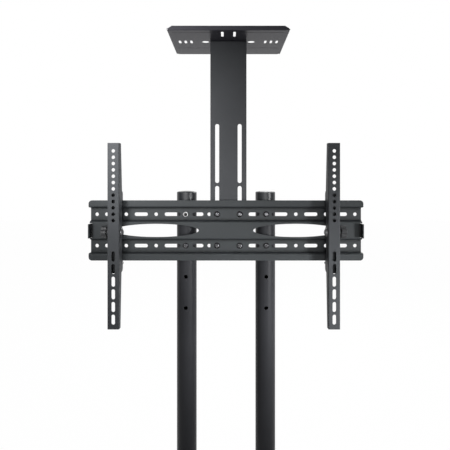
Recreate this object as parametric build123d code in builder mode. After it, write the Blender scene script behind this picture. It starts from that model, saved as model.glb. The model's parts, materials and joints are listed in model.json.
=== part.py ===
"""TV mount: a hooked rail, two tilting arms and a camera shelf on two round posts.

Frame: X to the right, Y to the back, Z up, millimetres. The origin lies on the ground, midway
between the lower ends of the two posts, whose axes stand at y = 0.
"""
import os

from build123d import *

# Posts and their caps
post_spacing = 200.0
post_diameter = 50.0
post_wall = 2.0
post_length = 710.0
post_hole_diameter = 9.5
post_hole_count = 4
row_pitch = 78.0  # height between the holes of a post, and between the two rows of the rail
cap_height = 26.0
cap_dome = 2.0
cap_rim = 1.5
spigot_length = 18.0
spigot_wall = 2.5
spigot_fit = 0.06
cap_seat_depth = 18.4  # turned seat for the spigot in the tube's top end
cap_seat_cut = 0.3

# Rail, a folded plate. Its centre line hangs at rail_height above the feet of the posts.
rail_height = 640.0
rail_sheet = 2.5
rail_bend = 2.6
post_gap = 0.3
rail_length = 670.0
rail_total = 148.0
rail_depth = 10.0
lip_width = 15.2
lip_overhang = 2.8
lip_corner = 8.5
band_width = 40.0
step_rise = 4.0
oval_offset = 171.0
oval_length = 208.0
oval_width = 32.6
tab_reach = 17.0
tab_width = 34.0
tab_inset = 1.5
tab_relief = 0.8
tab_root = 4.2  # length of the tab's root in the rail's plane
row_hole = 9.0
row_round_holes = (0.3128, 0.6285, 0.937)  # shares of the way from a post to the rail's end
row_slots = ((-0.1294, 27.0), (0.1387, 39.8), (0.4706, 33.0), (0.7838, 32.8))  # share, length
extra_hole_x = -41.7

# Bolts through the rail into the posts
post_bolt = 8.0
post_bolt_fit = 0.25
post_bolt_head = 13.6
post_bolt_rise = 4.6
post_bolt_rim = 1.6
post_bolt_flat = 6.5
socket_size = 5.0
socket_depth = 2.6

# Slotted bracket that carries the shelf
bracket_x = 6.0
bracket_width = 90.0
bracket_sheet = 3.0
bracket_bend = 4.0
bracket_gap = 0.1
bracket_foot = 60.0  # how far the strip reaches below the rail's centre line
slot_column_spacing = 56.0
slot_width = 10.0
upper_slot = (116.5, 263.5)
lower_slot = (-50.0, 109.0)
flange_length = 76.0
bracket_screw = 6.0
bracket_screw_fit = 0.3
bracket_screw_head = 14.6
bracket_screw_rise = 4.4
bracket_screw_rim = 1.1
nut_flange = 14.0
nut_size = 10.0
nut_height = 6.0
nut_rim = 1.5
nut_gap = 0.1
screw_tail = 1.0  # thread that stands out of a nut
cross_width = 1.8
cross_length = 7.6
cross_depth = 2.6
cross_turn = 35

# Camera shelf, a folded tray
shelf_rise = 472.0  # underside above the rail's centre line
shelf_width = 287.0
shelf_depth = 188.0
shelf_sheet = 1.5
shelf_front = 69.8  # front edge ahead of the strip's front face
shelf_lip = 10.0
shelf_lip_chamfer = 12.0
shelf_notch = 2.6
shelf_bend = 2.4
shelf_rear_corner = 12.0
shelf_crease_rows = (16.0, 131.0)  # from the front edge
shelf_crease_inset = 11.0
shelf_crease_width = 1.6
shelf_crease_depth = 0.5
cable_hole = 18.0
cable_hole_x = 57.5
oval_slot = (6.0, 24.0)
oval_slot_x = (93.0, 107.3, 121.8)
shelf_hole_line = 86.0  # from the front edge to the line of ovals
long_slot = (6.0, 36.0)
long_slot_x = 14.5
long_slot_front = 30.0
long_slot_rear = 118.0
shelf_bolt = 5.5
shelf_bolt_head = 11.0
shelf_bolt_rise = 3.6
shelf_bolt_taper = 14

# Arms, folded channels
left_arm_inset = 68.0  # from the rail's end
right_arm_inset = 78.0
arm_length = 442.0
arm_top = 212.3  # above the rail's centre line
arm_width = 28.0
arm_sheet = 2.0
arm_bend = 2.2
arm_standoff = 36.0  # arm front ahead of the rail's lips
arm_depth_top = 17.0
arm_depth_upper = 28.0
arm_depth_lower = 23.0
arm_depth_foot = 13.0
arm_hole = 8.5
arm_hole_pitch = 15.0
arm_hole_count = 12
arm_first_hole = 18.9
arm_slot_length = 24.0
arm_slot_pitch = 30.0
arm_slot_count = 6
arm_first_slot = 250.0

# Hook brackets that hang on the rail inside the arms
hook_width = 23.0
hook_sheet = 2.5
hook_top = 97.0
hook_foot = 101.0
hook_corner = 9.0
hook_lip_gap = 0.4
hook_foot_gap = 1.4  # under the lower lip, so the bracket can be lifted off
hook_finger = 5.6
hook_finger_drop = 12.0
hook_ear = 9.0
hook_ear_half = 19.0
hook_window_half = 24.0
hook_web_offset = 2.0  # web ahead of the tilt axis

# Tilt joint of each arm
tilt_behind_front = 19.0
tilt_drop = 2.0
tilt_bolt = 8.0
pin_fit = 0.08
stack_gap = 0.05
washer_diameter = 24.0
washer_thick = 1.6
friction_washer_diameter = 16.0
friction_washer_thick = 0.4
sleeve_diameter = 13.0
bolt_head_diameter = 16.0
bolt_head_rise = 4.8
bolt_head_rim = 1.0
bolt_tip_chamfer = 0.6
knob_diameter = 30.0
knob_length = 16.5
knob_lobes = 5
knob_flute_radius = 6.0
knob_flute_inset = 3.0  # how deep the flutes between the lobes cut into the grip
knob_lobe_corner = 1.8
left_knob_turn = 0  # degrees from a lobe that faces the front
right_knob_turn = -20
knob_hub_diameter = 19.0
knob_hub_length = 3.0
knob_hub_slope = 1.0
knob_rim = 2.0
knob_end_wall = 2.5

# Cross screw that keeps each hook bracket on the rail
lock_screw = 5.0
lock_screw_drop = 6.0  # axis below the rail's lower edge
lock_screw_inset = 2.8  # axis behind the front face of the lip
lock_screw_head = 8.6
lock_screw_rise = 3.0
lock_screw_rim = 0.8
lock_screw_tip = 3.0
lock_screw_chamfer = 0.5
lock_cross_width = 1.0
lock_cross_length = 4.6
lock_cross_depth = 1.6

# Places worked out from the sizes above
post_radius = post_diameter / 2
bore_radius = post_radius - post_wall
cap_seat_radius = bore_radius + cap_seat_cut
row_reach = (rail_length - post_spacing) / 2
left_arm_x = left_arm_inset - rail_length / 2
right_arm_x = rail_length / 2 - right_arm_inset
rail_back_y = -(post_radius + post_gap)
rail_face_y = rail_back_y - rail_sheet
lip_face_y = rail_face_y - rail_depth
lip_back_y = lip_face_y + rail_sheet
arm_front_y = lip_face_y - arm_standoff
tilt_y = arm_front_y + tilt_behind_front
tilt_z = rail_height - tilt_drop
row_heights = (rail_height + row_pitch / 2, rail_height - row_pitch / 2)
strip_front_y = rail_back_y + bracket_gap
strip_back_y = strip_front_y + bracket_sheet
shelf_z = rail_height + shelf_rise
shelf_front_y = strip_front_y - shelf_front
shelf_center_y = shelf_front_y + shelf_depth / 2
screw_xs = (bracket_x - slot_column_spacing / 2, bracket_x + slot_column_spacing / 2)

os.makedirs("parts", exist_ok=True)


def write_part(builder, name):
    """Label a finished sub-part and write it as its own file."""
    builder.part.label = name
    export_step(builder.part, f"parts/{name}.step")


def facing_front(x, y, z):
    """Plane for a turned piece whose sketch X points to the front and sketch Y points up."""
    return Plane(origin=(x, y, z), x_dir=(0, -1, 0), z_dir=(-1, 0, 0))


def facing_side(x, y, z, side):
    """Plane for a turned piece whose sketch X points sideways and sketch Y points up."""
    return Plane(origin=(x, y, z), x_dir=(side, 0, 0), z_dir=(0, -side, 0))


def across(x, direction):
    """Plane square to the tilt axis at x, with its normal pointing in the direction given."""
    return Plane(origin=(x, tilt_y, tilt_z), x_dir=(0, 1, 0), z_dir=(direction, 0, 0))


# Posts: tubes with a column of threaded holes in their front wall
def make_post(x):
    with BuildPart() as post:
        with BuildSketch(Plane.XY):
            with Locations((x, 0)):
                Circle(post_radius)
                Circle(bore_radius, mode=Mode.SUBTRACT)
        extrude(amount=post_length)
        with BuildSketch(Plane.XY.offset(post_length)):
            with Locations((x, 0)):
                Circle(cap_seat_radius)
        extrude(amount=-cap_seat_depth, mode=Mode.SUBTRACT)
        with BuildSketch(Plane.XZ):
            for index in range(post_hole_count):
                with Locations((x, row_heights[0] - index * row_pitch)):
                    Circle(post_hole_diameter / 2)
        extrude(amount=post_diameter, mode=Mode.SUBTRACT)
    return post


# Caps: a smooth head as wide as the post, on a hollow spigot that presses into the tube
def make_cap(x):
    spigot_radius = cap_seat_radius - spigot_fit
    with BuildPart() as cap:
        with BuildSketch(Plane(origin=(x, 0, post_length), x_dir=(1, 0, 0), z_dir=(0, -1, 0))):
            with BuildLine():
                Polyline(
                    (0, cap_height - cap_dome - spigot_wall),
                    (spigot_radius - spigot_wall, cap_height - cap_dome - spigot_wall),
                    (spigot_radius - spigot_wall, -spigot_length),
                    (spigot_radius, -spigot_length),
                    (spigot_radius, 0),
                    (post_radius, 0),
                    (post_radius, cap_height - cap_dome - cap_rim),
                )
                shoulder = Line(
                    (post_radius, cap_height - cap_dome - cap_rim),
                    (post_radius - cap_rim, cap_height - cap_dome),
                )
                TangentArc((0, cap_height), shoulder @ 1, tangent=(1, 0))
                Line((0, cap_height), (0, cap_height - cap_dome - spigot_wall))
            make_face()
        revolve(axis=Axis((x, 0, 0), (0, 0, 1)))
    return cap


for post_name, post_x in (("left", -post_spacing / 2), ("right", post_spacing / 2)):
    write_part(make_post(post_x), f"{post_name}_post")
    write_part(make_cap(post_x), f"{post_name}_post_cap")

# Rail: one folded section, the lips and the band stand proud of the two channels
half_total = rail_total / 2
lip_inner = half_total - lip_width
channel_outer = lip_inner - step_rise
band_half = band_width / 2
channel_inner = band_half + step_rise
half_sheet = rail_sheet / 2
proud_y = lip_face_y + half_sheet
sunk_y = rail_face_y + half_sheet
half_lip_length = rail_length / 2 + lip_overhang
tab_outer_x = rail_length / 2 - tab_inset
tab_root_x = tab_outer_x - tab_root

with BuildPart() as mount_rail:
    with BuildSketch(Plane.YZ.offset(-half_lip_length)):
        with BuildLine():
            FilletPolyline(
                (proud_y, rail_height + half_total),
                (proud_y, rail_height + lip_inner),
                (sunk_y, rail_height + channel_outer),
                (sunk_y, rail_height + channel_inner),
                (proud_y, rail_height + band_half),
                (proud_y, rail_height - band_half),
                (sunk_y, rail_height - channel_inner),
                (sunk_y, rail_height - channel_outer),
                (proud_y, rail_height - lip_inner),
                (proud_y, rail_height - half_total),
                radius=rail_bend,
            )
        trace(line_width=rail_sheet)
    extrude(amount=2 * half_lip_length)
    lip_ends = mount_rail.edges().filter_by(Axis.Y)
    fillet(lip_ends, radius=lip_corner)
    with BuildSketch(Plane.XZ.offset(-rail_back_y)):
        for side in (-1, 1):
            with Locations((side * (rail_length / 2 + lip_overhang), rail_height)):
                Rectangle(2 * lip_overhang, 2 * (lip_inner - rail_bend))
            with Locations((side * (tab_root_x + tab_outer_x) / 2, rail_height)):
                Rectangle(
                    tab_outer_x - tab_root_x,
                    tab_width + 2 * tab_relief,
                )
            with Locations((side * tab_outer_x, rail_height)):
                Rectangle(2 * (rail_length / 2 - tab_outer_x), tab_width + 2 * tab_relief)
            with Locations((side * oval_offset, rail_height)):
                Ellipse(oval_length / 2, oval_width / 2)
            for z in row_heights:
                with Locations((side * post_spacing / 2, z)):
                    Circle(post_bolt / 2 + post_bolt_fit)
                for share in row_round_holes:
                    with Locations((side * (post_spacing / 2 + share * row_reach), z)):
                        Circle(row_hole / 2)
                for share, slot_length in row_slots:
                    with Locations((side * (post_spacing / 2 + share * row_reach), z)):
                        SlotOverall(slot_length, row_hole)
        for z in row_heights:
            with Locations((extra_hole_x, z)):
                Circle(row_hole / 2)
            for screw_x in screw_xs:
                with Locations((screw_x, z)):
                    Circle(bracket_screw / 2 + bracket_screw_fit)
    extrude(amount=rail_sheet + 2 * rail_depth, mode=Mode.SUBTRACT)
    for side in (-1, 1):
        with BuildSketch(Plane.XY.offset(rail_height - tab_width / 2)):
            with BuildLine():
                FilletPolyline(
                    (side * (tab_root_x - rail_sheet), proud_y),
                    (side * (tab_outer_x - half_sheet), proud_y),
                    (side * (tab_outer_x - half_sheet), lip_face_y - tab_reach),
                    radius=rail_bend,
                )
            trace(line_width=rail_sheet)
        extrude(amount=tab_width)
write_part(mount_rail, "mount_rail")


# Post bolts: socket heads against the channels, one in each corner
def make_post_bolt(x, z):
    with BuildPart() as bolt:
        with BuildSketch(facing_front(x, rail_face_y, z)):
            with BuildLine():
                Polyline(
                    (0, 0),
                    (-rail_sheet, 0),
                    (-rail_sheet, post_bolt / 2),
                    (0, post_bolt / 2),
                    (0, post_bolt_head / 2),
                    (post_bolt_rim, post_bolt_head / 2),
                )
                TangentArc(
                    (post_bolt_rise, post_bolt_flat / 2),
                    (post_bolt_rim, post_bolt_head / 2),
                    tangent=(0, 1),
                )
                Polyline((post_bolt_rise, post_bolt_flat / 2), (post_bolt_rise, 0), (0, 0))
            make_face()
        revolve(axis=Axis((x, 0, z), (0, 1, 0)))
        with BuildSketch(Plane.XZ.offset(post_bolt_rise - rail_face_y)):
            with Locations((x, z)):
                RegularPolygon(socket_size / 2, 6, major_radius=False)
        extrude(amount=-socket_depth, mode=Mode.SUBTRACT)
    return bolt


for level, z in zip(("upper", "lower"), row_heights):
    for post_name, post_x in (("left", -post_spacing / 2), ("right", post_spacing / 2)):
        write_part(make_post_bolt(post_x, z), f"{level}_{post_name}_post_bolt")

# Shelf bracket: a slotted strip behind the rail, folded back at its top
strip_mid_y = strip_front_y + bracket_sheet / 2
flange_mid_z = shelf_z - bracket_sheet / 2
with BuildPart() as shelf_bracket:
    with BuildSketch(Plane.YZ.offset(bracket_x - bracket_width / 2)):
        with BuildLine():
            FilletPolyline(
                (strip_mid_y, rail_height - bracket_foot),
                (strip_mid_y, flange_mid_z),
                (strip_front_y + flange_length, flange_mid_z),
                radius=bracket_bend,
            )
        trace(line_width=bracket_sheet)
    extrude(amount=bracket_width)
    with BuildSketch(Plane.XZ.offset(-strip_back_y)):
        for slot_bottom, slot_top in (upper_slot, lower_slot):
            for x in screw_xs:
                with Locations((x, rail_height + (slot_bottom + slot_top) / 2)):
                    SlotOverall(slot_top - slot_bottom, slot_width, rotation=90)
    extrude(amount=bracket_sheet, mode=Mode.SUBTRACT)
    with BuildSketch(Plane.XY.offset(shelf_z - bracket_sheet)):
        for side in (-1, 1):
            with Locations((bracket_x + side * long_slot_x, shelf_front_y + long_slot_rear)):
                Circle(shelf_bolt / 2 + bracket_screw_fit)
    extrude(amount=bracket_sheet, mode=Mode.SUBTRACT)
write_part(shelf_bracket, "shelf_bracket")


# Bracket screws: pan heads with a cross recess on the rail, flange nuts behind the strip
nut_face_y = strip_back_y + nut_gap
screw_end = rail_face_y - nut_face_y - nut_height - screw_tail
with BuildPart() as shelf_bracket_screws:
    for x in screw_xs:
        for z in row_heights:
            with BuildSketch(facing_front(x, rail_face_y, z)):
                with BuildLine():
                    Polyline(
                        (0, 0),
                        (screw_end, 0),
                        (screw_end, bracket_screw / 2),
                        (0, bracket_screw / 2),
                        (0, bracket_screw_head / 2),
                        (bracket_screw_rim, bracket_screw_head / 2),
                    )
                    TangentArc(
                        (bracket_screw_rise, 0),
                        (bracket_screw_rim, bracket_screw_head / 2),
                        tangent=(0, 1),
                    )
                    Line((bracket_screw_rise, 0), (0, 0))
                make_face()
            revolve(axis=Axis((x, 0, z), (0, 1, 0)))
    with BuildSketch(Plane.XZ.offset(bracket_screw_rise - rail_face_y)):
        for x in screw_xs:
            for z in row_heights:
                with Locations((x, z)):
                    Rectangle(cross_length, cross_width, rotation=cross_turn)
                    Rectangle(cross_width, cross_length, rotation=cross_turn)
    extrude(amount=-cross_depth, mode=Mode.SUBTRACT)
write_part(shelf_bracket_screws, "shelf_bracket_screws")


def make_flange_nut(plane, screw_diameter):
    """A flange nut that grows along the plane's normal from its origin."""
    with BuildPart() as nut:
        with BuildSketch(plane):
            Circle(nut_flange / 2)
        extrude(amount=nut_rim)
        with BuildSketch(plane):
            RegularPolygon(nut_size / 2, 6, major_radius=False)
        extrude(amount=nut_height)
        with BuildSketch(plane):
            Circle(screw_diameter / 2)
        extrude(amount=nut_height, mode=Mode.SUBTRACT)
    return nut.part


bracket_nut_planes = [
    Plane(origin=(x, nut_face_y, z), x_dir=(1, 0, 0), z_dir=(0, 1, 0))
    for x in screw_xs
    for z in row_heights
]
bracket_nuts = [make_flange_nut(plane, bracket_screw) for plane in bracket_nut_planes]
with BuildPart() as shelf_bracket_nuts:
    add(bracket_nuts)
write_part(shelf_bracket_nuts, "shelf_bracket_nuts")

# Camera shelf: a tray with four upright lips, open at its corners
shelf_half_width = shelf_width / 2
shelf_half_depth = shelf_depth / 2
shelf_edges = []
for side in (-1, 1):
    front_or_back = Plane(
        origin=(bracket_x, shelf_center_y + side * shelf_half_depth, shelf_z),
        x_dir=(side, 0, 0),
        z_dir=(0, -side, 0),
    )
    left_or_right = Plane(
        origin=(bracket_x + side * shelf_half_width, shelf_center_y, shelf_z),
        x_dir=(0, -side, 0),
        z_dir=(-side, 0, 0),
    )
    shelf_edges.append((front_or_back, shelf_width))
    shelf_edges.append((left_or_right, shelf_depth))

with BuildPart() as camera_shelf:
    with BuildSketch(Plane.XY.offset(shelf_z)):
        with Locations((bracket_x, shelf_center_y)):
            Rectangle(shelf_width, shelf_depth)
            with GridLocations(shelf_width - shelf_notch, shelf_depth - shelf_notch, 2, 2):
                Rectangle(shelf_notch, shelf_notch, mode=Mode.SUBTRACT)
    extrude(amount=shelf_sheet)
    for edge_plane, edge_length in shelf_edges:
        lower_half = edge_length / 2 - shelf_notch
        upper_half = edge_length / 2 - shelf_lip_chamfer
        shoulder = shelf_sheet + shelf_bend
        with BuildSketch(edge_plane):
            with BuildLine():
                Polyline(
                    (-lower_half, 0),
                    (lower_half, 0),
                    (lower_half, shoulder),
                    (upper_half, shelf_lip),
                    (-upper_half, shelf_lip),
                    (-lower_half, shoulder),
                    close=True,
                )
            make_face()
        extrude(amount=shelf_sheet)
    lower_edges = camera_shelf.faces().sort_by(Axis.Z)[0].edges()
    outer_long_edges = lower_edges.filter_by(lambda edge: edge.length > shelf_depth / 2)
    fillet(outer_long_edges, radius=shelf_bend)
    with BuildSketch(Plane.XY.offset(shelf_z)):
        for side in (-1, 1):
            with Locations((bracket_x + side * cable_hole_x, shelf_front_y + shelf_hole_line)):
                Circle(cable_hole / 2)
            for x in oval_slot_x:
                with Locations((bracket_x + side * x, shelf_front_y + shelf_hole_line)):
                    SlotOverall(oval_slot[1], oval_slot[0], rotation=90)
            for y in (long_slot_front, long_slot_rear):
                with Locations((bracket_x + side * long_slot_x, shelf_front_y + y)):
                    SlotOverall(long_slot[1], long_slot[0], rotation=90)
    extrude(amount=shelf_sheet, mode=Mode.SUBTRACT)
    rear_corner_x = shelf_half_width - shelf_notch - shelf_rear_corner
    rear_corner_y = shelf_front_y + shelf_depth - shelf_rear_corner
    with BuildSketch(Plane.XY.offset(shelf_z)):
        for side in (-1, 1):
            with Locations((bracket_x + side * rear_corner_x, rear_corner_y)):
                Rectangle(
                    shelf_rear_corner,
                    shelf_rear_corner,
                    align=(Align.MIN if side > 0 else Align.MAX, Align.MIN),
                )
                Circle(shelf_rear_corner, mode=Mode.SUBTRACT)
    extrude(amount=shelf_lip, mode=Mode.SUBTRACT)
    crease_half_length = shelf_half_width - shelf_crease_inset
    with BuildSketch(Plane.YZ.offset(bracket_x - crease_half_length)):
        for row in shelf_crease_rows:
            with Locations((shelf_front_y + row, shelf_z)):
                Polygon(
                    (-shelf_crease_width / 2, 0),
                    (shelf_crease_width / 2, 0),
                    (0, shelf_crease_depth),
                    align=None,
                )
    extrude(amount=2 * crease_half_length, mode=Mode.SUBTRACT)
write_part(camera_shelf, "camera_shelf")

# Shelf bolts: heads on the tray, flange nuts under the bracket's flange
shelf_bolt_y = shelf_front_y + long_slot_rear
shelf_nut_z = shelf_z - bracket_sheet
with BuildPart() as shelf_bolts:
    for side in (-1, 1):
        x = bracket_x + side * long_slot_x
        with BuildSketch(Plane.XY.offset(shelf_z + shelf_sheet)):
            with Locations((x, shelf_bolt_y)):
                Circle(shelf_bolt_head / 2)
        extrude(amount=shelf_bolt_rise, taper=shelf_bolt_taper)
        with BuildSketch(Plane.XY.offset(shelf_z + shelf_sheet)):
            with Locations((x, shelf_bolt_y)):
                Circle(shelf_bolt / 2)
        extrude(amount=-(shelf_sheet + bracket_sheet + nut_height + screw_tail))
        with BuildSketch(Plane.XY.offset(shelf_z + shelf_sheet + shelf_bolt_rise)):
            with Locations((x, shelf_bolt_y)):
                RegularPolygon(socket_size / 2, 6, major_radius=False)
        extrude(amount=-socket_depth, mode=Mode.SUBTRACT)
write_part(shelf_bolts, "shelf_bolts")

shelf_nut_planes = [
    Plane(
        origin=(bracket_x + side * long_slot_x, shelf_bolt_y, shelf_nut_z),
        x_dir=(1, 0, 0),
        z_dir=(0, 0, -1),
    )
    for side in (-1, 1)
]
shelf_bolt_nuts = [make_flange_nut(plane, shelf_bolt) for plane in shelf_nut_planes]
with BuildPart() as shelf_nuts:
    add(shelf_bolt_nuts)
write_part(shelf_nuts, "shelf_nuts")

# Arms: the front web carries the screen's screws, the side walls are deepest at the tilt bolt
arm_top_z = rail_height + arm_top
arm_foot_z = arm_top_z - arm_length
first_hole_z = arm_top_z - arm_first_hole
upper_deep_z = rail_height + half_total + hook_finger_drop
lower_deep_z = rail_height - half_total - hook_finger_drop


def make_arm(x):
    with BuildPart() as arm:
        with BuildSketch(Plane.YZ.offset(x - arm_width / 2)):
            with BuildLine():
                wall_top = Line((arm_front_y, arm_top_z), (arm_front_y + arm_depth_top, arm_top_z))
                upper_taper = Line(wall_top @ 1, (arm_front_y + arm_depth_upper, upper_deep_z))
                back_edge = Line(upper_taper @ 1, (arm_front_y + arm_depth_upper, tilt_z))
                lower_run = Line(back_edge @ 1, (arm_front_y + arm_depth_lower, lower_deep_z))
                lower_taper = Line(lower_run @ 1, (arm_front_y + arm_depth_foot, arm_foot_z))
                wall_foot = Line(lower_taper @ 1, (arm_front_y, arm_foot_z))
                Line(wall_foot @ 1, wall_top @ 0)
            make_face()
        extrude(amount=arm_width)
        front_edges = arm.faces().sort_by(Axis.Y)[0].edges().filter_by(Axis.Z)
        fillet(front_edges, radius=arm_bend)
        inner_front = arm_front_y + arm_sheet
        with BuildSketch(Plane.XY.offset(arm_foot_z)):
            with BuildLine():
                FilletPolyline(
                    (x - arm_width / 2 + arm_sheet, arm_front_y + arm_depth_upper),
                    (x - arm_width / 2 + arm_sheet, inner_front),
                    (x + arm_width / 2 - arm_sheet, inner_front),
                    (x + arm_width / 2 - arm_sheet, arm_front_y + arm_depth_upper),
                    radius=arm_bend - arm_sheet / 2,
                )
                Line(
                    (x + arm_width / 2 - arm_sheet, arm_front_y + arm_depth_upper),
                    (x - arm_width / 2 + arm_sheet, arm_front_y + arm_depth_upper),
                )
            make_face()
        extrude(amount=arm_length, mode=Mode.SUBTRACT)
        with BuildSketch(Plane.XZ.offset(-arm_front_y)):
            for index in range(arm_hole_count):
                with Locations((x, first_hole_z - index * arm_hole_pitch)):
                    Circle(arm_hole / 2)
            for index in range(arm_slot_count):
                slot_z = first_hole_z - arm_first_slot - index * arm_slot_pitch
                with Locations((x, slot_z)):
                    SlotOverall(arm_slot_length, arm_hole, rotation=90)
        extrude(amount=-arm_sheet, mode=Mode.SUBTRACT)
        with BuildSketch(Plane.YZ.offset(x - arm_width / 2)):
            with Locations((tilt_y, tilt_z)):
                Circle(tilt_bolt / 2 + pin_fit)
        extrude(amount=arm_width, mode=Mode.SUBTRACT)
    return arm


# Hook brackets: side plates with a finger over the rail's upper lip, joined by a windowed web
web_front_y = tilt_y - hook_web_offset
ear_front_y = tilt_y - hook_ear
plate_back_y = lip_back_y + hook_lip_gap + hook_finger
hook_top_z = rail_height + hook_top
hook_foot_z = rail_height - hook_foot
lip_top_z = rail_height + half_total + hook_lip_gap
lip_foot_z = rail_height - half_total - hook_foot_gap
lock_y = lip_face_y + lock_screw_inset
lock_z = rail_height - half_total - lock_screw_drop


def make_hook_bracket(x):
    notch_y = lip_face_y - hook_lip_gap
    with BuildPart() as bracket:
        with BuildSketch(Plane.YZ.offset(x - hook_width / 2)):
            with BuildLine():
                Polyline(
                    (web_front_y, hook_top_z),
                    (plate_back_y, hook_top_z),
                    (plate_back_y, lip_top_z - hook_finger_drop),
                    (lip_back_y + hook_lip_gap, lip_top_z - hook_finger_drop),
                    (lip_back_y + hook_lip_gap, lip_top_z),
                    (notch_y, lip_top_z),
                    (notch_y, lip_foot_z),
                    (plate_back_y, lip_foot_z),
                    (plate_back_y, hook_foot_z),
                    (web_front_y, hook_foot_z),
                    (web_front_y, tilt_z - hook_ear_half - hook_ear + hook_web_offset),
                    (ear_front_y, tilt_z - hook_ear_half),
                    (ear_front_y, tilt_z + hook_ear_half),
                    (web_front_y, tilt_z + hook_ear_half + hook_ear - hook_web_offset),
                    close=True,
                )
            make_face()
        extrude(amount=hook_width)
        back_corners = bracket.edges().filter_by(Axis.X).group_by(Axis.Y)[-1].sort_by(Axis.Z)
        fillet((back_corners[0], back_corners[-1]), radius=hook_corner)
        with BuildSketch(Plane.YZ.offset(x - hook_width / 2 + hook_sheet)):
            with Locations(((web_front_y + hook_sheet + plate_back_y) / 2, rail_height)):
                Rectangle(
                    plate_back_y - web_front_y - hook_sheet,
                    2 * (hook_top + hook_foot),
                )
            with Locations(((ear_front_y + web_front_y) / 2 + hook_sheet, tilt_z)):
                Rectangle(
                    2 * (hook_ear + hook_sheet),
                    2 * hook_window_half + 2 * hook_ear - 2 * hook_web_offset,
                )
        extrude(amount=hook_width - 2 * hook_sheet, mode=Mode.SUBTRACT)
        with BuildSketch(Plane.YZ.offset(x - hook_width / 2)):
            with Locations((tilt_y, tilt_z)):
                Circle(tilt_bolt / 2 + pin_fit)
            with Locations((lock_y, lock_z)):
                Circle(lock_screw / 2)
        extrude(amount=hook_width, mode=Mode.SUBTRACT)
    return bracket


# Turned pieces on each tilt bolt, placed outward from the middle of the arm
half_arm = arm_width / 2
washer_seat = half_arm + stack_gap
knob_seat = washer_seat + washer_thick + stack_gap
bolt_tip = knob_seat + knob_length - knob_end_wall
head_seat = washer_seat + washer_thick
friction_seat = hook_width / 2 + stack_gap


def make_tilt_bolt(x, side):
    with BuildPart() as bolt:
        with BuildSketch(facing_side(x, tilt_y, tilt_z, side)):
            with BuildLine():
                Polyline(
                    (-head_seat, 0),
                    (bolt_tip, 0),
                    (bolt_tip, tilt_bolt / 2 - bolt_tip_chamfer),
                    (bolt_tip - bolt_tip_chamfer, tilt_bolt / 2),
                    (-head_seat, tilt_bolt / 2),
                    (-head_seat, bolt_head_diameter / 2),
                    (-head_seat - bolt_head_rim, bolt_head_diameter / 2),
                )
                TangentArc(
                    (-head_seat - bolt_head_rise, 0),
                    (-head_seat - bolt_head_rim, bolt_head_diameter / 2),
                    tangent=(0, 1),
                )
                Line((-head_seat - bolt_head_rise, 0), (-head_seat, 0))
            make_face()
        revolve(axis=Axis((x, tilt_y, tilt_z), (1, 0, 0)))
    return bolt


def make_washer_pair(x, seat, diameter, thickness):
    with BuildPart() as washers:
        for direction in (-1, 1):
            with BuildSketch(across(x + direction * seat, direction)):
                Circle(diameter / 2)
                Circle(tilt_bolt / 2 + pin_fit, mode=Mode.SUBTRACT)
            extrude(amount=thickness)
    return washers


def make_sleeve(x):
    with BuildPart() as sleeve:
        with BuildSketch(across(x, 1)):
            Circle(sleeve_diameter / 2)
            Circle(tilt_bolt / 2 + pin_fit, mode=Mode.SUBTRACT)
        extrude(amount=hook_width / 2 - hook_sheet - stack_gap, both=True)
    return sleeve


# Knobs: a lobed grip on a narrow hub, with a blind bore for the bolt
def make_knob(x, side, turn):
    with BuildPart() as knob:
        with BuildSketch(facing_side(x, tilt_y, tilt_z, side)) as knob_profile:
            with BuildLine():
                Polyline(
                    (knob_seat, 0),
                    (knob_seat, knob_hub_diameter / 2),
                    (knob_seat + knob_hub_length, knob_hub_diameter / 2),
                    (knob_seat + knob_hub_length + knob_hub_slope, knob_diameter / 2),
                    (knob_seat + knob_length, knob_diameter / 2),
                    (knob_seat + knob_length, 0),
                    close=True,
                )
            make_face()
            rim_corner = knob_profile.vertices().sort_by(Axis.Y)[-2:].sort_by(Axis.X)[-1]
            fillet(rim_corner, radius=knob_rim)
        revolve(axis=Axis((x, tilt_y, tilt_z), (1, 0, 0)))
        with BuildSketch(across(x + side * knob_seat, side)) as knob_section:
            Circle(knob_diameter / 2)
            flute_circle = knob_diameter / 2 + knob_flute_radius - knob_flute_inset
            with PolarLocations(flute_circle, knob_lobes, start_angle=turn):
                Circle(knob_flute_radius, mode=Mode.SUBTRACT)
            fillet(knob_section.vertices(), radius=knob_lobe_corner)
        extrude(amount=knob_length, mode=Mode.INTERSECT)
        with BuildSketch(across(x + side * knob_seat, side)):
            Circle(tilt_bolt / 2 + pin_fit)
        extrude(amount=bolt_tip - knob_seat + stack_gap, mode=Mode.SUBTRACT)
    return knob


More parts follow.
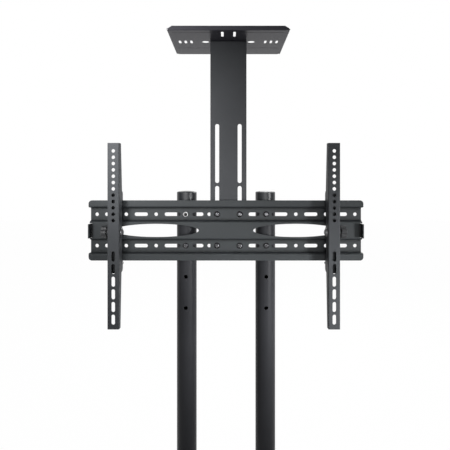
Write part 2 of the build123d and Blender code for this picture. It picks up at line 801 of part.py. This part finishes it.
# Lock screw: passes through both side plates just under the rail's lower lip
def make_lock_screw(x):
    with BuildPart() as screw:
        with BuildSketch(facing_side(x, lock_y, lock_z, 1)):
            with BuildLine():
                Polyline(
                    (hook_width / 2, 0),
                    (-hook_width / 2 - lock_screw_tip, 0),
                    (-hook_width / 2 - lock_screw_tip, lock_screw / 2 - lock_screw_chamfer),
                    (-hook_width / 2 - lock_screw_tip + lock_screw_chamfer, lock_screw / 2),
                    (hook_width / 2, lock_screw / 2),
                    (hook_width / 2, lock_screw_head / 2),
                    (hook_width / 2 + lock_screw_rim, lock_screw_head / 2),
                )
                TangentArc(
                    (hook_width / 2 + lock_screw_rise, 0),
                    (hook_width / 2 + lock_screw_rim, lock_screw_head / 2),
                    tangent=(0, 1),
                )
                Line((hook_width / 2 + lock_screw_rise, 0), (hook_width / 2, 0))
            make_face()
        revolve(axis=Axis((x, lock_y, lock_z), (1, 0, 0)))
        head_top_x = x + hook_width / 2 + lock_screw_rise
        with BuildSketch(Plane(origin=(head_top_x, lock_y, lock_z), x_dir=(0, 1, 0), z_dir=(1, 0, 0))):
            Rectangle(lock_cross_length, lock_cross_width)
            Rectangle(lock_cross_width, lock_cross_length)
        extrude(amount=-lock_cross_depth, mode=Mode.SUBTRACT)
    return screw


for side_name, arm_x, side, knob_turn in (
    ("left", left_arm_x, -1, left_knob_turn),
    ("right", right_arm_x, 1, right_knob_turn),
):
    write_part(make_arm(arm_x), f"{side_name}_arm")
    write_part(make_hook_bracket(arm_x), f"{side_name}_hook_bracket")
    write_part(make_tilt_bolt(arm_x, side), f"{side_name}_tilt_bolt")
    washers = make_washer_pair(arm_x, washer_seat, washer_diameter, washer_thick)
    write_part(washers, f"{side_name}_tilt_washers")
    thin_washers = make_washer_pair(
        arm_x, friction_seat, friction_washer_diameter, friction_washer_thick
    )
    write_part(thin_washers, f"{side_name}_friction_washers")
    write_part(make_sleeve(arm_x), f"{side_name}_tilt_sleeve")
    write_part(make_knob(arm_x, side, knob_turn), f"{side_name}_knob")
    write_part(make_lock_screw(arm_x), f"{side_name}_lock_screw")
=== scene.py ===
import json
import math

import bpy
import numpy as np
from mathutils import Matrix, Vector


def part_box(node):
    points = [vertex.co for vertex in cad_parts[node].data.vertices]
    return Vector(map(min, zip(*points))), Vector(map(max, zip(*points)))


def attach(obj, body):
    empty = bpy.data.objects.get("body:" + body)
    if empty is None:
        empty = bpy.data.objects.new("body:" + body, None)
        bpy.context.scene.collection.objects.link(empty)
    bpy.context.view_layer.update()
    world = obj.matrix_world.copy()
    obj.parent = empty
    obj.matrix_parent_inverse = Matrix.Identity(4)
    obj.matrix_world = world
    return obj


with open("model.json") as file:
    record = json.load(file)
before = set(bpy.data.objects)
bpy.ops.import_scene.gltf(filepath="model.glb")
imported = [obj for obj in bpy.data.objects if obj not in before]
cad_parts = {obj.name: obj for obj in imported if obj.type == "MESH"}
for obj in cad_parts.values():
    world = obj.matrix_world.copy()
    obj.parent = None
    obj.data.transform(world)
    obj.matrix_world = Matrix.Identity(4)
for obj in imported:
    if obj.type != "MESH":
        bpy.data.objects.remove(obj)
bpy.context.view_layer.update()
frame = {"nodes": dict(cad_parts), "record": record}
nodes = frame["nodes"]
print("stage: frame loaded,", len(nodes), "nodes")

# Camera: level, square to the rail, at the photograph's distance and height
cameraView = {
    "place": (0.005, -1.030, 0.774),
    "lens": 32.3,  # millimetres, like the sensor's width
    "sensor": 36,
    "shiftX": -0.0067,
    "shiftY": -0.109,
}
cameraData = bpy.data.cameras.new("camera")
cameraData.lens = cameraView["lens"]
cameraData.sensor_width = cameraView["sensor"]
cameraData.shift_x = cameraView["shiftX"]
cameraData.shift_y = cameraView["shiftY"]
cameraData.dof.use_dof = False
camera = bpy.data.objects.new("camera", cameraData)
camera.location = cameraView["place"]
camera.rotation_euler = (math.radians(90), 0, 0)
bpy.context.scene.collection.objects.link(camera)
bpy.context.scene.camera = camera
print("stage: camera placed")


# Adds one shader node, sets its values and joins the links given
def addNode(tree, kind, values=None, links=None, **settings):
    made = tree.nodes.new(kind)
    for name, value in settings.items():
        setattr(made, name, value)
    for name, value in (values or {}).items():
        made.inputs[name].default_value = value
    for name, source in (links or {}).items():
        tree.links.new(source, made.inputs[name])
    return made


# The result of a maths node that works on two linked values
def addMath(tree, operation, first, second):
    made = addNode(tree, "ShaderNodeMath", links={0: first, 1: second}, operation=operation)
    return made.outputs[0]


# Noise over the places given; settings holds the noise node's own inputs
def addNoise(tree, place, settings):
    return addNode(tree, "ShaderNodeTexNoise", settings, {"Vector": place}).outputs["Fac"]


# An empty material with its Principled shader joined to the output
def newMaterial(name):
    material = bpy.data.materials.new(name)
    material.use_nodes = True
    tree = material.node_tree
    tree.nodes.clear()
    shader = addNode(tree, "ShaderNodeBsdfPrincipled")
    output = addNode(tree, "ShaderNodeOutputMaterial")
    tree.links.new(shader.outputs["BSDF"], output.inputs["Surface"])
    place = addNode(tree, "ShaderNodeTexCoord").outputs["Object"]
    return material, tree, shader, place


# A node that a material already has, by its type
def nodeOfType(tree, kind):
    return [node for node in tree.nodes if node.type == kind][0]


# Rays sent out for the rounded edges and for the painted shade in folds
raysPerPoint = {"edge": 4, "foldShade": 8}  # sent out from each point to find edges and folds near it


# The surface's normal, rounded off near edges
def roundedNormal(tree, width):
    rounded = addNode(tree, "ShaderNodeBevel", {"Radius": width}, samples=raysPerPoint["edge"])
    return rounded.outputs["Normal"]


# Colour between a finish's dark and light tone, as the pattern runs from the first stop to the second
def toneOver(tree, pattern, look):
    ramp = addNode(tree, "ShaderNodeValToRGB", links={"Fac": pattern})
    firstStop, secondStop = ramp.color_ramp.elements
    firstStop.position, secondStop.position = look["toneStops"]
    firstStop.color = (*look["dark"], 1)
    secondStop.color = (*look["light"], 1)
    return ramp.outputs["Color"]


# The tone with paler edges: partly wear, partly a painted highlight where light would catch the edge.
# Their share is the look's wear and glint strength times noise times 1 minus the cosine between the
# rounded and the true normal, so flat faces have none of it
def wornAndGlintEdges(tree, place, normal, tone, look):
    flat = addNode(tree, "ShaderNodeNewGeometry")
    cosine = addNode(
        tree,
        "ShaderNodeVectorMath",
        links={0: normal, 1: flat.outputs["True Normal"]},
        operation="DOT_PRODUCT",
    )
    turned = addNode(
        tree, "ShaderNodeMath", {0: 1.0}, {1: cosine.outputs["Value"]}, operation="SUBTRACT"
    )
    mixed = addMath(tree, "MULTIPLY", turned.outputs[0], addNoise(tree, place, look["wearPatches"]))
    wearAndGlint = addNode(
        tree, "ShaderNodeMath", {1: look["wearAndGlint"]}, {0: mixed}, operation="MULTIPLY", use_clamp=True
    )
    # Paler edge colour: part wear, part painted highlight
    worn = addNode(
        tree,
        "ShaderNodeMixRGB",
        {"Color2": (*look["worn"], 1)},
        {"Fac": wearAndGlint.outputs[0], "Color1": tone},
    )
    return worn.outputs["Color"]


# Painted shade in folds: the tone stays unchanged on open faces and is darkened down to the fold shade
# level deep in a crease. How open a point is comes from the share of its hemisphere that is free of the
# same piece within a short reach
def paintedFoldShade(tree, tone, look):
    openness = addNode(
        tree,
        "ShaderNodeAmbientOcclusion",
        {"Distance": look["foldShadeReach"]},
        samples=raysPerPoint["foldShade"],
        only_local=True,
    )
    closed, free = look["foldShadeStops"]
    shade = addNode(
        tree,
        "ShaderNodeMapRange",
        {"From Min": closed, "From Max": free, "To Min": look["foldShade"], "To Max": 1.0},
        {"Value": openness.outputs["AO"]},
    )
    foldShaded = addNode(
        tree,
        "ShaderNodeMixRGB",
        {"Fac": 1.0},
        {"Color1": tone, "Color2": shade.outputs["Result"]},
        blend_type="MULTIPLY",
    )
    return foldShaded.outputs["Color"]


# Gives a Principled shader its colour, a roughness that wavers with one pattern, bump from another and
# its constant gloss
def coatShader(tree, shader, colour, waver, grain, normal, look):
    tree.links.new(colour, shader.inputs["Base Color"])
    low, high = look["waverStops"]
    smoother, rougher = look["waverSpan"]
    roughness = addNode(
        tree,
        "ShaderNodeMapRange",
        {
            "From Min": low,
            "From Max": high,
            "To Min": look["rough"] - smoother,
            "To Max": look["rough"] + rougher,
        },
        {"Value": waver},
    )
    tree.links.new(roughness.outputs["Result"], shader.inputs["Roughness"])
    bump = addNode(
        tree,
        "ShaderNodeBump",
        {"Strength": look["bump"], "Distance": look["bumpDepth"]},
        {"Height": grain, "Normal": normal},
    )
    tree.links.new(bump.outputs["Normal"], shader.inputs["Normal"])
    shader.inputs["Metallic"].default_value = look["metal"]
    shader.inputs["Specular IOR Level"].default_value = look["specular"]


# Powder coat: fine grain as bump, slow drift of tone, paler edges that are partly wear and partly a
# painted highlight, and painted shade in its folds
def powderCoat(name, look):
    material, tree, shader, place = newMaterial(name)
    grain = addNoise(tree, place, look["grain"])
    normal = roundedNormal(tree, look["edge"])
    tone = toneOver(tree, addNoise(tree, place, look["drift"]), look)
    worn = wornAndGlintEdges(tree, place, normal, tone, look)
    coatShader(tree, shader, paintedFoldShade(tree, worn, look), grain, grain, normal, look)
    return material


# Moulded plastic: smooth or finely grained, with a faint swirl in its tone and gloss
def mouldedPlastic(name, look):
    material, tree, shader, place = newMaterial(name)
    grain = addNoise(tree, place, look["grain"])
    swirl = addNoise(tree, place, look["swirl"])
    normal = roundedNormal(tree, look["edge"])
    coatShader(tree, shader, toneOver(tree, swirl, look), swirl, grain, normal, look)
    return material


# Plated or blackened steel: metallic, with fine turning lines, small stains and paler edges that are
# partly wear and partly painted glints
def platedSteel(name, look):
    material, tree, shader, place = newMaterial(name)
    stretched = addNode(tree, "ShaderNodeMapping", {"Scale": look["stretch"]}, {"Vector": place})
    lines = addNoise(tree, stretched.outputs["Vector"], look["lines"])
    normal = roundedNormal(tree, look["edge"])
    tone = toneOver(tree, addNoise(tree, place, look["stain"]), look)
    worn = wornAndGlintEdges(tree, place, normal, tone, look)
    coatShader(tree, shader, worn, lines, lines, normal, look)
    return material


paintLook = {
    "drift": {"Scale": 6.0, "Detail": 4.0},
    "grain": {"Scale": 1400.0, "Detail": 2.0, "Roughness": 0.6},
    "toneStops": (0.35, 0.65),  # noise levels of the dark and the light tone
    "edge": 0.0007,  # width of the rounding, in metres
    # Paler paint edges: part wear, part painted highlight
    "wearAndGlint": 2.5,
    "wearPatches": {"Scale": 90.0, "Detail": 3.0},
    "worn": (0.10, 0.105, 0.11),
    # Painted shade in folds: how dark a crease gets, how far the shade reaches and the openness levels
    # it runs between
    "foldShade": 0.04,  # share of the tone that is left deep in a crease
    "foldShadeReach": 0.010,
    "foldShadeStops": (0.62, 0.92),  # openness deep in a crease and on an open face
    "rough": 0.44,
    "waverStops": (0.3, 0.7),  # noise levels of the smoothest and the roughest spots
    "waverSpan": (0.04, 0.05),  # how far these lie under and over the roughness
    "bump": 0.35,
    "bumpDepth": 0.0002,
    "metal": 0.0,
    "specular": 0.18,
}
paints = {
    "post_paint": {
        "dark": (0.030, 0.031, 0.035),
        "light": (0.040, 0.041, 0.046),
        "rough": 0.42,
        "specular": 0.13,
    },
    "rail_paint": {"dark": (0.046, 0.051, 0.054), "light": (0.056, 0.062, 0.066)},
    "bracket_paint": {"dark": (0.055, 0.058, 0.063), "light": (0.066, 0.069, 0.075)},
    "shelf_paint": {
        "dark": (0.120, 0.118, 0.142),
        "light": (0.145, 0.142, 0.170),
        "rough": 0.3,
        "specular": 0.12,
    },
    "arm_paint": {
        "dark": (0.066, 0.070, 0.076),
        "light": (0.082, 0.087, 0.094),
        "rough": 0.5,
        "specular": 0.15,
    },
    "hook_paint": {"dark": (0.050, 0.053, 0.057), "light": (0.062, 0.065, 0.070)},
}
plasticLook = {
    "swirl": {"Scale": 25.0, "Distortion": 0.6},
    "toneStops": (0.0, 1.0),
    "waverStops": (0.0, 1.0),
    "waverSpan": (0.03, 0.05),
    "bumpDepth": 0.0001,
    "metal": 0.0,
}
plastics = {
    "cap_plastic": {
        "grain": {"Scale": 900.0, "Detail": 2.0},
        "dark": (0.008, 0.009, 0.012),
        "light": (0.013, 0.015, 0.019),
        "rough": 0.34,
        "edge": 0.0008,
        "bump": 0.02,
        "specular": 0.38,
    },
    "knob_plastic": {
        "grain": {"Scale": 2200.0, "Detail": 2.0},
        "dark": (0.030, 0.031, 0.033),
        "light": (0.044, 0.045, 0.048),
        "rough": 0.38,
        "edge": 0.0006,
        "bump": 0.25,
        "specular": 0.34,
    },
}
steelLook = {
    "lines": {"Scale": 400.0, "Detail": 3.0},
    "stain": {"Scale": 160.0, "Detail": 4.0},
    "toneStops": (0.3, 0.6),
    "wearPatches": {"Scale": 300.0, "Detail": 3.0},
    "waverStops": (0.0, 1.0),
    "waverSpan": (0.08, 0.1),
    "bump": 0.1,
    "bumpDepth": 0.0001,
    "metal": 1.0,
    "specular": 0.5,
}
steels = {
    "black_screws": {
        "stretch": (1.0, 6.0, 1.0),
        "dark": (0.030, 0.030, 0.033),
        "light": (0.070, 0.070, 0.074),
        "rough": 0.2,
        "edge": 0.0005,
        # Pale recess and rim edges on the black screws: painted glints as well as wear
        "wearAndGlint": 9.0,
        "worn": (0.7, 0.7, 0.7),
    },
    "bright_steel": {
        "stretch": (6.0, 1.0, 1.0),
        "dark": (0.13, 0.13, 0.135),
        "light": (0.22, 0.22, 0.225),
        "rough": 0.3,
        "edge": 0.0003,
        "wearAndGlint": 1.5,
        "worn": (0.5, 0.5, 0.5),
    },
}


# A material's name from its slot: post_paint becomes postPaint
def materialName(slot):
    first, second = slot.split("_")
    return first + second.capitalize()


finishes = {}
for make, shared, looks in (
    (powderCoat, paintLook, paints),
    (mouldedPlastic, plasticLook, plastics),
    (platedSteel, steelLook, steels),
):
    for slot, look in looks.items():
        finishes[slot] = make(materialName(slot), {**shared, **look})

slotOfNode = {part["node"]: part["material_slot"] for part in frame["record"]["subparts"]}
for nodeName, nodeObject in nodes.items():
    nodeObject.data.materials.clear()
    nodeObject.data.materials.append(finishes[slotOfNode[nodeName]])
print("stage: finishes given to", len(slotOfNode), "nodes")


# Worn bolt head: a pale ring on a matt black coat. The bolt's axis runs along Y through the X and Z
# given. The ring is whole where the distance from the axis lies between its two radii, and fades on
# both sides
def bareRing(material, axisX, axisZ, ring):
    tree = material.node_tree
    shader = nodeOfType(tree, "BSDF_PRINCIPLED")
    place = addNode(tree, "ShaderNodeTexCoord").outputs["Object"]
    flat = addNode(
        tree, "ShaderNodeVectorMath", {1: (1.0, 0.0, 1.0)}, {0: place}, operation="MULTIPLY"
    )
    away = addNode(
        tree,
        "ShaderNodeVectorMath",
        {1: (axisX, 0.0, axisZ)},
        {0: flat.outputs["Vector"]},
        operation="DISTANCE",
    )
    inside = addNode(
        tree,
        "ShaderNodeMapRange",
        {"From Min": ring["inner"] - ring["fade"], "From Max": ring["inner"]},
        {"Value": away.outputs["Value"]},
    )
    outside = addNode(
        tree,
        "ShaderNodeMapRange",
        {
            "From Min": ring["outer"],
            "From Max": ring["outer"] + ring["fade"],
            "To Min": 1.0,
            "To Max": 0.0,
        },
        {"Value": away.outputs["Value"]},
    )
    mixed = addNode(
        tree,
        "ShaderNodeMixRGB",
        {"Color1": (*ring["coat"], 1), "Color2": (*ring["steel"], 1)},
        {"Fac": addMath(tree, "MULTIPLY", inside.outputs["Result"], outside.outputs["Result"])},
    )
    tree.links.new(mixed.outputs["Color"], shader.inputs["Base Color"])
    shader.inputs["Metallic"].default_value = ring["metal"]
    shader.inputs["Specular IOR Level"].default_value = ring["specular"]


wornBolt = "upper_left_post_bolt"
wornRing = {
    "inner": 0.0044,
    "outer": 0.0061,
    "fade": 0.0004,
    "steel": (0.80, 0.80, 0.80),
    "coat": (0.006, 0.006, 0.007),
    "metal": 0.0,
    "specular": 0.1,
}
wornSteel = finishes["black_screws"].copy()
wornSteel.name = "wornScrew"
boltLow, boltHigh = (np.array(corner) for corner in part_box(wornBolt))
boltMiddle = (boltLow + boltHigh) / 2
bareRing(wornSteel, float(boltMiddle[0]), float(boltMiddle[2]), wornRing)
nodes[wornBolt].data.materials[0] = wornSteel
print("stage: ring worn on", wornBolt)


# Two unit vectors square to an axis and to each other
def crossAxes(axis):
    nearlyUpright = abs(axis[2]) >= 0.9
    helper = np.array((1.0, 0.0, 0.0)) if nearlyUpright else np.array((0.0, 0.0, 1.0))
    first = np.cross(axis, helper)
    first /= np.linalg.norm(first)
    return first, np.cross(axis, first)


# A mesh from a grid of points: rows by columns, each cell one quad
def gridMesh(name, points):
    rows, columns = points.shape[:2]
    index = np.arange(rows * columns).reshape(rows, columns)
    quads = np.stack(
        (index[:-1, :-1], index[1:, :-1], index[1:, 1:], index[:-1, 1:]), axis=-1
    ).reshape(-1, 4)
    mesh = bpy.data.meshes.new(name)
    mesh.from_pydata(points.reshape(-1, 3).tolist(), [], quads.tolist())
    mesh.polygons.foreach_set("use_smooth", np.ones(len(quads), dtype=bool))
    return mesh


# Screw thread: the point at turn t and place s across one pitch, s from -0.5 to 0.5, lies at
# start + axis * pitch * (t + s + 0.5), and out from there by radius + lift + depth * (1 - |2 s|) in the
# direction (cos 2 pi t, sin 2 pi t). The ridge fades in and out over the first and last half turn
def threadSurface(name, start, axis, thread):
    turns = thread["length"] / thread["pitch"] - 1
    t = np.linspace(0, turns, int(turns * thread["steps"]) + 1)[:, None]
    s = np.linspace(-0.5, 0.5, thread["across"])[None, :]
    fade = np.clip(np.minimum(t, turns - t) * 2, 0, 1)
    reach = thread["radius"] + thread["lift"] + thread["depth"] * (1 - np.abs(2 * s)) * fade
    along = thread["pitch"] * (t + s + 0.5)
    first, second = crossAxes(axis)
    angle = 2 * np.pi * t
    points = (
        start
        + along[..., None] * axis
        + (reach * np.cos(angle))[..., None] * first
        + (reach * np.sin(angle))[..., None] * second
    )
    return gridMesh(name, points)


# Lock screws: each thread runs along the plain shank, from behind the tip's chamfer towards the head
lockThread = {
    "axis": (1, 0, 0),
    "radius": 0.0025,
    "length": 0.0262,
    "chamfer": 0.0005,
    "pitch": 0.0009,
    "depth": 0.00028,
    "lift": 0.00003,  # keeps the roots of the thread clear of the shank
    "steps": 40,  # points to a turn
    "across": 7,  # points to a pitch
    "bodies": {"left_lock_screw": "left_hook", "right_lock_screw": "right_hook"},
}
threadAxis = np.array(lockThread["axis"], dtype=float)
for nodeName, bodyName in lockThread["bodies"].items():
    low, high = (np.array(corner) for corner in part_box(nodeName))
    tip = (low + high) / 2
    tip[0] = low[0] + lockThread["chamfer"]
    threadMesh = threadSurface(nodeName + "_thread", tip, threadAxis, lockThread)
    threadMesh.materials.append(finishes["bright_steel"])
    threadPiece = bpy.data.objects.new(nodeName + "_thread", threadMesh)
    bpy.context.scene.collection.objects.link(threadPiece)
    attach(threadPiece, bodyName)
print("stage: threads cut")


# The seen level for camera, glossy and transmission rays, and the plain one for all other light
def seenLevel(tree, plain, seen):
    ray = addNode(tree, "ShaderNodeLightPath").outputs
    cameraOrGloss = addMath(tree, "MAXIMUM", ray["Is Camera Ray"], ray["Is Glossy Ray"])
    anyOfThem = addMath(tree, "MAXIMUM", cameraOrGloss, ray["Is Transmission Ray"])
    level = addNode(
        tree, "ShaderNodeMapRange", {"To Min": plain, "To Max": seen}, {"Value": anyOfThem}
    )
    return level.outputs["Result"]


# Floor: grey to the light that it throws back, nearly white where it is looked at
floorLook = {
    "half": 6.0,  # half its width, in metres
    "patches": {"Scale": 3.0},
    "toneStops": (0.0, 1.0),
    "dark": (0.28, 0.28, 0.28),
    "light": (0.31, 0.31, 0.31),
    "rough": 0.9,
    "plain": 0.0,  # share of the glow in the light that it throws back
    "seen": 0.93,  # share of the glow where it is looked at
    "glow": 1.06,
}
floorMaterial, floorTree, floorShader, floorPlace = newMaterial("floor")
floorShader.inputs["Roughness"].default_value = floorLook["rough"]
floorTone = toneOver(floorTree, addNoise(floorTree, floorPlace, floorLook["patches"]), floorLook)
floorTree.links.new(floorTone, floorShader.inputs["Base Color"])
floorGlow = addNode(floorTree, "ShaderNodeEmission", {"Strength": floorLook["glow"]})
floorMix = addNode(
    floorTree,
    "ShaderNodeMixShader",
    links={
        "Fac": seenLevel(floorTree, floorLook["plain"], floorLook["seen"]),
        1: floorShader.outputs["BSDF"],
        2: floorGlow.outputs["Emission"],
    },
)
floorOutput = nodeOfType(floorTree, "OUTPUT_MATERIAL")
floorTree.links.new(floorMix.outputs["Shader"], floorOutput.inputs["Surface"])

half = floorLook["half"]
floorMesh = bpy.data.meshes.new("floor")
floorCorners = [(-half, -half, 0), (half, -half, 0), (half, half, 0), (-half, half, 0)]
floorMesh.from_pydata(floorCorners, [], [(0, 1, 2, 3)])
floorMesh.materials.append(floorMaterial)
floor = bpy.data.objects.new("floor", floorMesh)
bpy.context.scene.collection.objects.link(floor)

# World: weak all-round light, white where it is looked at
worldLevel = {"plain": 0.04, "seen": 1.0}
world = bpy.data.worlds.new("world")
bpy.context.scene.world = world
world.use_nodes = True
worldTree = world.node_tree
worldTree.nodes.clear()
background = addNode(
    worldTree,
    "ShaderNodeBackground",
    {"Color": (1, 1, 1, 1)},
    {"Strength": seenLevel(worldTree, worldLevel["plain"], worldLevel["seen"])},
)
worldOutput = addNode(worldTree, "ShaderNodeOutputWorld")
worldTree.links.new(background.outputs["Background"], worldOutput.inputs["Surface"])

# Lamps: three narrow softboxes in front, whose light fades upward and downward, and a large one behind
# and above. Sizes in metres, power in watts, spread in degrees
lamps = {
    "leftSoftbox": {
        "place": (-0.58, -1.05, 1.03),
        "aim": (-0.27, -0.07, 0.90),
        "size": (0.3, 0.3),
        "power": 0.82,
        "spread": 36,
    },
    "frontSoftbox": {
        "place": (0.0, -1.60, 0.62),
        "aim": (0, 0, 0.64),
        "size": (0.9, 0.3),
        "power": 0.54,
        "spread": 44,
    },
    "rightSoftbox": {
        "place": (1.25, -1.10, 0.50),
        "aim": (0.12, 0, 0.46),
        "size": (0.25, 0.4),
        "power": 0.80,
        "spread": 27,
    },
    "rearSoftbox": {
        "place": (0.6, 1.5, 2.1),
        "aim": (0, 0, 0.8),
        "size": (1.2, 1.2),
        "power": 22,
        "spread": 140,
    },
}
for lampName, lamp in lamps.items():
    lampData = bpy.data.lights.new(lampName, "AREA")
    lampData.shape = "RECTANGLE"
    lampData.size, lampData.size_y = lamp["size"]
    lampData.energy = lamp["power"]
    lampData.spread = math.radians(lamp["spread"])
    lampObject = bpy.data.objects.new(lampName, lampData)
    lampObject.location = lamp["place"]
    toward = np.subtract(lamp["aim"], lamp["place"])
    level = math.hypot(toward[0], toward[1])
    lampObject.rotation_euler = (math.atan2(level, -toward[2]), 0, math.atan2(-toward[0], toward[1]))
    bpy.context.scene.collection.objects.link(lampObject)
print("stage: floor, world and lamps set")

bpy.context.scene.view_settings.view_transform = "Standard"
